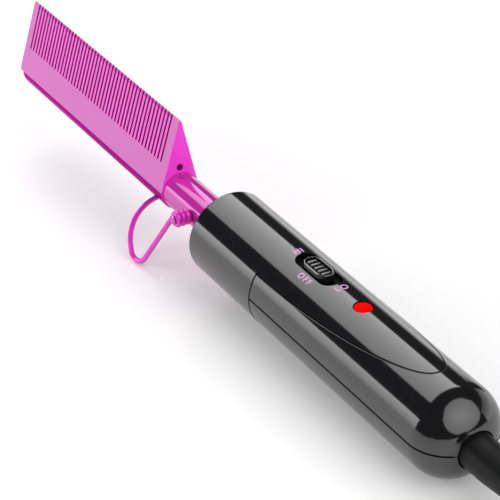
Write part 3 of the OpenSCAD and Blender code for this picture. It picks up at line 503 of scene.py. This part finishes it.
# Pieces drawn in the handle's own frame, in millimetres
def newPiece(name, bm, labels, body, replaced=None, sharp=35):
    bmesh.ops.recalc_face_normals(bm, faces=bm.faces)
    mesh = bpy.data.meshes.new(name)
    bm.to_mesh(mesh)
    bm.free()
    for label in labels:
        mesh.materials.append(materials[label])
    mesh.shade_smooth()
    mesh.set_sharp_from_angle(angle=math.radians(sharp))
    piece = bpy.data.objects.new(name, mesh)
    bpy.context.scene.collection.objects.link(piece)
    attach(piece, body)
    if replaced:
        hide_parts(replaced)
    return piece


def loft(bm, loops, closed=False, capped=True):
    # skins a list of equal loops of points; a material number comes with each loop
    rings = [[bm.verts.new(seat(*point)) for point in loop] for loop, _ in loops]
    pairs = list(zip(rings, rings[1:])) + ([(rings[-1], rings[0])] if closed else [])
    for (first, second), (_, index) in zip(pairs, loops):
        for i in range(len(first)):
            j = (i + 1) % len(first)
            bm.faces.new((first[i], first[j], second[j], second[i])).material_index = index
    if capped:
        bm.faces.new(rings[0]).material_index = loops[0][1]
        bm.faces.new(rings[-1]).material_index = loops[-1][1]


# Points to a half circle of the knob, to a circle, and round a bead
steps = {"halfCircle": 12, "circle": 48, "bead": 8}


def stadium(x, z, halfLength, halfWidth):
    straight, count = halfLength - halfWidth, steps["halfCircle"]
    turns = [(i * 180 / count - 90, straight) for i in range(count + 1)]
    turns += [(i * 180 / count + 90, -straight) for i in range(count + 1)]
    return [(x + shift + halfWidth * math.cos(math.radians(a)),
             halfWidth * math.sin(math.radians(a)), z) for a, shift in turns]


def turned(radius):
    # a circle as pairs of its two coordinates
    count = steps["circle"]
    return [(radius * math.cos(math.tau * i / count), radius * math.sin(math.tau * i / count))
            for i in range(count)]


# Switch knob: drafted sides, a rolled rim and five ribs in a well; the well's floor is given by its
# insets of length and width, and the stem by its half length, half width and bottom
knob = {"x": 56.75, "halfLength": 6.55, "halfWidth": 3.6, "bottom": 14.2, "top": 17.06,
        "upright": 0.9, "rim": 0.5, "well": 0.85, "wellFloor": (0.3, 0.58), "ribs": 5,
        "pitch": 2.07, "ribShift": 0.15, "ribHalfLength": 1.9, "ribHalfWidth": 0.36,
        "ribBelowRim": 0.08, "overlap": 0.1, "stem": (2.5, 1.2, 9.1)}
# Its sides and over its rim: height from the top, insets of the length and width, share of the
# rim's width that comes to them, and the finish above (0 plain, 1 lighter grey as painted
# highlight, 2 darker matt black as painted shade)
knobProfile = [(-0.46, 0.13, 0.38, 0, 0), (-0.2, 0.19, 0.46, 0, 1), (-0.06, 0.27, 0.55, 0, 1),
               (0, 0.28, 0.56, 1 / 3, 1), (-0.06, 0.27, 0.55, 0.7, 2), (-0.24, 0.22, 0.5, 1, 2)]
# A rib's length: share of the way from its middle, extra shift and drop of its crest
ribEnds = [(-1, 0, -0.3), (-1, 0.12, -0.06), (-1, 0.4, 0),
           (1, -0.4, 0), (1, -0.12, -0.06), (1, 0, -0.3)]
# A rib's section: share of its half width, and drop from its crest
ribSection = [(-0.92, 0.22), (-0.6, 0.05), (0, 0), (0.6, 0.05), (0.92, 0.22)]


def makeKnob():
    bm = bmesh.new()
    x, top, bottom, rim = knob["x"], knob["top"], knob["bottom"], knob["rim"]
    longest, widest, floor = knob["halfLength"], knob["halfWidth"], top - knob["well"]
    # plain black; a lighter grey on the rim's top and the ribs, painted highlight; a darker matt
    # black in the well, painted shade
    black, paintedHighlight, mattShade = range(3)
    levels = [(bottom, 0, 0, black), (bottom + knob["upright"], 0, 0, black)]
    for height, inLength, inWidth, share, surface in knobProfile:
        levels.append((top + height, inLength + rim * share, inWidth + rim * share, surface))
    inLength, inWidth = knob["wellFloor"]
    levels.append((floor, inLength + rim, inWidth + rim, mattShade))
    loft(bm, [(stadium(x, z, longest - inLength, widest - inWidth), surface)
              for z, inLength, inWidth, surface in levels])
    half, reach, foot = knob["ribHalfWidth"], knob["ribHalfLength"], floor - knob["overlap"]
    for i in range(knob["ribs"]):
        middle = x + knob["ribShift"] + (i - (knob["ribs"] - 1) / 2) * knob["pitch"]
        loops = []
        for sign, shift, lift in ribEnds:
            high = top - knob["ribBelowRim"] + lift
            crest = [(half * share, high - drop) for share, drop in ribSection]
            profile = [(-half, foot)] + crest + [(half, foot)]
            loops.append(([(middle + dx, sign * reach + shift, z) for dx, z in profile], paintedHighlight))
        loft(bm, loops)
    stemLength, stemWidth, stemBottom = knob["stem"]
    corners = [(x + a * stemLength, b * stemWidth) for a, b in ((-1, -1), (1, -1), (1, 1), (-1, 1))]
    ends = (stemBottom, bottom + knob["overlap"])
    loft(bm, [([(a, b, z) for a, b in corners], black) for z in ends])
    newPiece("switchKnob", bm, ("knobBlack", "knobPaintedHighlight", "paintedShadeBlack"), "switch",
             "switch_knob")


# Pilot lamp lens: a flange under the shell and a low crown level with it
lens = {"x": 82.5, "radius": 2.98, "flange": 4.05, "flangeHeight": 0.95, "seat": 13, "edge": 15.74,
        "crown": 16.06, "softEdge": (0.08, 0.06), "crownRings": (0.85, 0.65, 0.45, 0.25, 0.08)}


def makeLens():
    bm = bmesh.new()
    radius, flange, low, edge = lens["radius"], lens["flange"], lens["seat"], lens["edge"]
    drop, inset = lens["softEdge"]
    levels = [(low - lens["flangeHeight"], flange), (low, flange), (low, radius),
              (edge - drop, radius), (edge, radius - inset)]
    for share in lens["crownRings"]:
        levels.append((lens["crown"] - (lens["crown"] - edge) * share ** 2, radius * share))
    loft(bm, [([(lens["x"] + a, b, z) for a, b in turned(r)], 0) for z, r in levels])
    newPiece("lampLens", bm, ("lensRed",), "handle", "lamp_lens")


# Legends beside the knob: text, place of its middle along the handle and round it, cap height, the
# way it runs and the spacing of its letters
legends = {
    "legendHigh": ("HI", 44.3, 0.1, 2.6, "across", 1.15),
    "legendOff": ("OFF", 57.9, -6.4, 2.3, "along", 1.3),
    "legendLow": ("LO", 69.9, 0.2, 2.6, "across", 1.15),
}
# Print: font size to a cap height of 1, half its thickness, extra weight and lift off the shell,
# then the distance at which points are welded and how longer straight edges are cut up, so that
# the print follows the shell
ink = {"fontSize": 1.4, "halfThick": 0.035, "weight": 0.05, "lift": 0.02, "weld": 0.005,
       "longest": 0.8, "cuts": 2}


def makeLegend(name, text, x, around, size, way, spacing):
    data = bpy.data.curves.new(name, "FONT")
    data.body, data.size, data.extrude = text, ink["fontSize"] * size, ink["halfThick"]
    data.align_x, data.align_y, data.space_character = "CENTER", "CENTER", spacing
    data.offset = ink["weight"]
    source = bpy.data.objects.new(name + "Text", data)
    bpy.context.scene.collection.objects.link(source)
    bpy.context.view_layer.update()
    mesh = bpy.data.meshes.new_from_object(source)
    bpy.data.objects.remove(source)
    bm = bmesh.new()
    bm.from_mesh(mesh)
    bmesh.ops.remove_doubles(bm, verts=bm.verts, dist=ink["weld"])
    bmesh.ops.triangulate(bm, faces=bm.faces)
    long = [edge for edge in bm.edges if edge.calc_length() > ink["longest"]]
    bmesh.ops.subdivide_edges(bm, edges=long, cuts=ink["cuts"])
    bmesh.ops.triangulate(bm, faces=bm.faces)
    for vert in bm.verts:
        u, v, w = vert.co
        along, arc = (x - v, around + u) if way == "across" else (x + u, around + v)
        angle, radius = arc / handleRadius, handleRadius + ink["lift"] + w
        vert.co = seat(along, radius * math.sin(angle), radius * math.cos(angle))
    newPiece(name, bm, ("legendPink",), "handle", sharp=30)


# Parting lines: a darker matt bead on one edge of the gap, painted shade, and a glossy one on the
# other, both darker matt between the two long shells; an arc is its first angle, the angle that it
# stops before and its step
seams = {"sleeveEnd": 39.8, "gap": 0.4, "root": 32.5, "tip": 123.1, "halfWidth": 13.1,
         "power": 2.35, "straight": 130.9, "corner": 13.5, "mouth": 7.1, "rimRound": 1.2,
         "rimTurn": 57, "inset": 0.1, "halfInset": 0.08, "tongueSteps": 48, "straightSteps": 12,
         "sleeveArc": (146, 395, 4), "cornerArc": (6, 91, 6), "mouthArc": (0, 360, 4)}
# Beads: radius, how deep their middle lies under the skin, and their finish (0 glossy, 1 darker
# matt, painted shade)
beads = {"mattShade": {"radius": 0.13, "sunk": 0.09, "finish": 1},
         "gloss": {"radius": 0.13, "sunk": 0.04, "finish": 0},
         "rim": {"radius": 0.2, "sunk": 0.14, "finish": 1}}


def bead(bm, kind, path, closed=False):
    # a thin round bead along (point, outward normal) pairs
    size, rings, last = beads[kind], [], len(path) - 1
    angles = [math.tau * i / steps["bead"] for i in range(steps["bead"])]
    for k, (point, normal) in enumerate(path):
        before = path[k - 1 if closed else max(k - 1, 0)][0]
        after = path[(k + 1) % len(path) if closed else min(k + 1, last)][0]
        out, tangent = Vector(normal), (Vector(after) - Vector(before)).normalized()
        side, core = tangent.cross(out), Vector(point) - out * size["sunk"]
        rings.append(([tuple(core + (out * math.cos(a) + side * math.sin(a)) * size["radius"])
                       for a in angles], size["finish"]))
    loft(bm, rings, closed=closed, capped=not closed)


def onHandle(x, y):
    z = math.sqrt(max(handleRadius ** 2 - y ** 2, 0))
    return (x, y, z), (0, y / handleRadius, z / handleRadius)


def tongueSeam(bm, kind, margin):
    # the curved seam round the nose cover's tongue, margin millimetres outside the tongue's edge
    reach, half = seams["tip"] - seams["root"] + margin, seams["halfWidth"] + margin
    first, count = seams["sleeveEnd"] + seams["gap"], seams["tongueSteps"]
    power = 2 / seams["power"]
    side = []
    for i in range(count + 1):
        t = math.radians(90 * i / count)
        x = seams["root"] + reach * math.sin(t) ** power
        if x > first:
            side.append((x, half * max(math.cos(t), 0) ** power))
    outline = [onHandle(x, -y) for x, y in side] + [onHandle(x, y) for x, y in reversed(side[:-1])]
    bead(bm, kind, outline)


def sleeveSeam(bm, kind, x):
    path = []
    for a in range(*seams["sleeveArc"]):
        across, up = math.cos(math.radians(a)), math.sin(math.radians(a))
        path.append(((x, handleRadius * across, handleRadius * up), (0, across, up)))
    bead(bm, kind, path)


def halfSeam(bm, kind, sign, z):
    # along one side of the handle and round its end to the boot's opening
    corner, straight, first = seams["corner"], seams["straight"], seams["sleeveEnd"] + seams["gap"]
    core, count = handleRadius - corner, seams["straightSteps"]
    path = [((first + i * (straight - first) / count, sign * handleRadius, z), (0, sign, 0))
            for i in range(count + 1)]
    for a in range(*seams["cornerArc"]):
        out = Vector((math.sin(math.radians(a)), sign * math.cos(math.radians(a)), 0))
        if corner * abs(out.y) + core > seams["mouth"]:
            point = (straight + corner * out.x, sign * core + corner * out.y, z)
            path.append((point, tuple(out)))
    bead(bm, kind, path)


def frontEdge(bm):
    # a thin darker matt line, painted shade, on the rounded edge of the handle's mouth
    rim, turn = seams["rimRound"], math.radians(seams["rimTurn"])
    forward, outward = math.cos(turn), math.sin(turn)
    x, radius = rim - rim * forward, handleRadius - rim + rim * outward
    path = []
    for a in range(*seams["mouthArc"]):
        across, up = math.cos(math.radians(a)), math.sin(math.radians(a))
        path.append(((x, radius * across, radius * up), (-forward, outward * across, outward * up)))
    bead(bm, "rim", path, closed=True)


def makeSeams():
    bm = bmesh.new()
    end, gap, inset = seams["sleeveEnd"], seams["gap"], seams["inset"]
    frontEdge(bm)
    tongueSeam(bm, "mattShade", -inset)
    tongueSeam(bm, "gloss", gap + inset)
    sleeveSeam(bm, "mattShade", end + gap + inset)
    sleeveSeam(bm, "gloss", end - inset)
    edge = gap / 2 + seams["halfInset"]
    for sign in (-1, 1):
        halfSeam(bm, "mattShade", sign, -edge)
        halfSeam(bm, "mattShade", sign, edge)
    newPiece("seamEdges", bm, ("shellBlack", "paintedShadeBlack"), "handle", sharp=60)


# Cord boot: a plain collar, then a taper with ring grooves; the collar's draft is how far before
# its end it starts and how much it takes off
boot = {"radius": 6.3, "tip": 4.3, "collarEnd": 152.7, "collarDraft": (2, 0.04), "grooves": 6,
        "firstGroove": 164.6, "pitch": 2.3, "depth": 0.75, "halfGroove": 0.55, "tail": 4.15,
        "tailLength": 12.3, "lip": 0.3, "mouth": 3.2, "mouthLength": 6, "shoulder": 0.15,
        "centre": 0.02}
# A groove's section: place in half widths, extra shift, and share of its depth
groove = [(-1, -0.15, 0), (-1, 0, 0.15), (-0.85, 0, 0.8), (-0.5, 0, 1), (0.5, 0, 1), (0.85, 0, 0.8),
          (1, 0, 0.15), (1, 0.15, 0)]
# The rounded lip at its end: distance before the end, and drop from the tip's radius
lipRound = [(0.08, 0.1), (0, 0.3)]


def makeBoot():
    node = frame["nodes"]["cord_boot"]
    start = min((node.matrix_world @ vert.co - frontRim).dot(alongAxis)
                for vert in node.data.vertices) / mm
    end, collar, wide, soft = cord["bootEnd"], boot["collarEnd"], boot["radius"], boot["shoulder"]
    tip, tail, mouth, centre = boot["tip"], boot["tail"], boot["mouth"], boot["centre"]
    mouthX, tailX, lipX = end - boot["mouthLength"], start + boot["tailLength"], end - boot["lip"]
    draftLength, draft = boot["collarDraft"]

    def taper(x):
        return wide + (tip - wide) * max(0, x - collar) / (end - collar)
    profile = [(start, tail), (start, wide - soft), (start + soft, wide),
               (collar - draftLength, wide), (collar, wide - draft)]
    for i in range(boot["grooves"]):
        middle = boot["firstGroove"] + i * boot["pitch"]
        for place, shift, share in groove:
            x = middle + (place * boot["halfGroove"] + shift)
            profile.append((x, taper(x) - boot["depth"] * share))
    profile += [(lipX, taper(lipX))] + [(end - before, tip - drop) for before, drop in lipRound]
    profile += [(end, mouth), (mouthX, mouth), (mouthX, centre), (tailX, centre), (tailX, tail)]
    bm = bmesh.new()
    loops = [([(x, a, b) for a, b in turned(r)], 0) for x, r in profile]
    loft(bm, loops, closed=True, capped=False)
    newPiece("cordBoot", bm, ("rubberBlack",), "swivel", "cord_boot")


makeKnob()
makeLens()
for name, legend in legends.items():
    makeLegend(name, *legend)
makeSeams()
makeBoot()
print("knob, lens, legends, seams and boot made")


# Floor, world and lamps: a dark room with softboxes round a pale table
studio = {"floorShade": 0.92, "floorRoughness": 0.5, "floorGlow": 0.13, "floorSize": 8,
          "floorHeight": -0.0005, "roomGlow": 0.05}


def makeStage():
    # a pale floor with a faint glow of its own that only the camera and reflections see
    material = bpy.data.materials.new("paleFloor")
    material.use_nodes = True
    shader, shade = material.node_tree.nodes["Principled BSDF"], studio["floorShade"]
    shader.inputs["Base Color"].default_value = (shade, shade, shade, 1)
    shader.inputs["Roughness"].default_value = studio["floorRoughness"]
    shader.inputs["Emission Color"].default_value = (1, 1, 1, 1)
    nodes, links = material.node_tree.nodes, material.node_tree.links
    rays = nodes.new("ShaderNodeLightPath").outputs
    seen = mathNode(nodes, links, "MAXIMUM", rays["Is Camera Ray"], rays["Is Glossy Ray"])
    seen = mathNode(nodes, links, "MAXIMUM", seen, rays["Is Transmission Ray"])
    glow = mathNode(nodes, links, "MULTIPLY", seen, studio["floorGlow"])
    links.new(glow, shader.inputs["Emission Strength"])
    bpy.ops.mesh.primitive_plane_add(size=studio["floorSize"])
    floor = bpy.context.object
    floor.name = "floor"
    floor.data.materials.append(material)
    floor.location = (0, 0, studio["floorHeight"])


def makeWorld():
    world = bpy.data.worlds.new("studio")
    bpy.context.scene.world = world
    world.use_nodes = True
    room = world.node_tree.nodes["Background"]
    room.inputs["Color"].default_value = (1, 1, 1, 1)
    room.inputs["Strength"].default_value = studio["roomGlow"]


# Lamps: place and aim in metres, width and height, brightness of the face and how it fades over
# it; a plain one isn't seen in reflections
lamps = {
    "overheadBox": {"place": (-1.55, 0.155, 1.0), "aim": (-1.55, 0.155, 0), "size": (2.1, 1.37),
                    "glow": 3.1, "fade": ("up", 0.55, 1)},
    "sideBox": {"place": (-1.45, -1.2, 0.23), "aim": (-1.45, 0, 0.23), "size": (1.9, 0.45),
                "glow": 3.2, "fade": ("up", 0.5, 1)},
    "backStrip": {"place": (-1.7, 1.2, 0.17), "aim": (-1.7, 0, 0.17), "size": (1.7, 0.34),
                  "glow": 2.0, "fade": ("up", 1, 0.4)},
    "rearDish": {"place": (0.9, 0.11, 0.82), "aim": (0.1, 0, 0.02), "size": (2.0, 2.0),
                 "glow": 2.2, "round": True, "fade": ("out", 1, 0.6)},
    "rearStrip": {"place": (0.25, 1.2, 0.3), "aim": (0.25, 0, 0.3), "size": (1.3, 0.6),
                  "glow": 1.3, "fade": ("up", 1, 0.3)},
    "fillBox": {"place": (-0.6, -1.6, 0.9), "aim": (0, 0, 0), "size": (1.4, 1.2), "glow": 3.1,
                "plain": True},
}


def fadeLamp(data, way, low, high):
    # brightness from low to high, up the face or out from its middle; the face is 1 wide and 1 high
    data.use_nodes = True
    nodes, links = data.node_tree.nodes, data.node_tree.links
    place = nodes.new("ShaderNodeNewGeometry").outputs["Parametric"]
    spread = nodes.new("ShaderNodeMapRange")
    spread.inputs["To Min"].default_value = low
    spread.inputs["To Max"].default_value = high
    if way == "up":
        split = nodes.new("ShaderNodeSeparateXYZ")
        links.new(place, split.inputs[0])
        links.new(split.outputs["Y"], spread.inputs["Value"])
    else:
        distance = nodes.new("ShaderNodeVectorMath")
        distance.operation = "DISTANCE"
        distance.inputs[1].default_value = (0.5, 0.5, 0)
        links.new(place, distance.inputs[0])
        links.new(distance.outputs["Value"], spread.inputs["Value"])
        spread.inputs["From Max"].default_value = 0.5
    links.new(spread.outputs["Result"], nodes["Emission"].inputs["Strength"])


def makeLamp(name, place, aim, size, glow, round=False, plain=False, fade=None):
    data = bpy.data.lights.new(name, "AREA")
    data.shape = "ELLIPSE" if round else "RECTANGLE"
    data.size, data.size_y = size
    area = size[0] * size[1] * (math.pi / 4 if round else 1)
    data.energy = glow * math.pi * area  # the power that gives the face this brightness
    if fade:
        fadeLamp(data, *fade)
    lamp = bpy.data.objects.new(name, data)
    lamp.location = place
    lamp.rotation_mode = "QUATERNION"
    lamp.rotation_quaternion = (Vector(aim) - Vector(place)).to_track_quat("-Z", "Y")
    lamp.visible_glossy = not plain
    bpy.context.scene.collection.objects.link(lamp)


makeStage()
makeWorld()
for name, lamp in lamps.items():
    makeLamp(name, **lamp)
bpy.context.scene.view_settings.view_transform = "Standard"
print("studio lit")

bpy.context.view_layer.update()
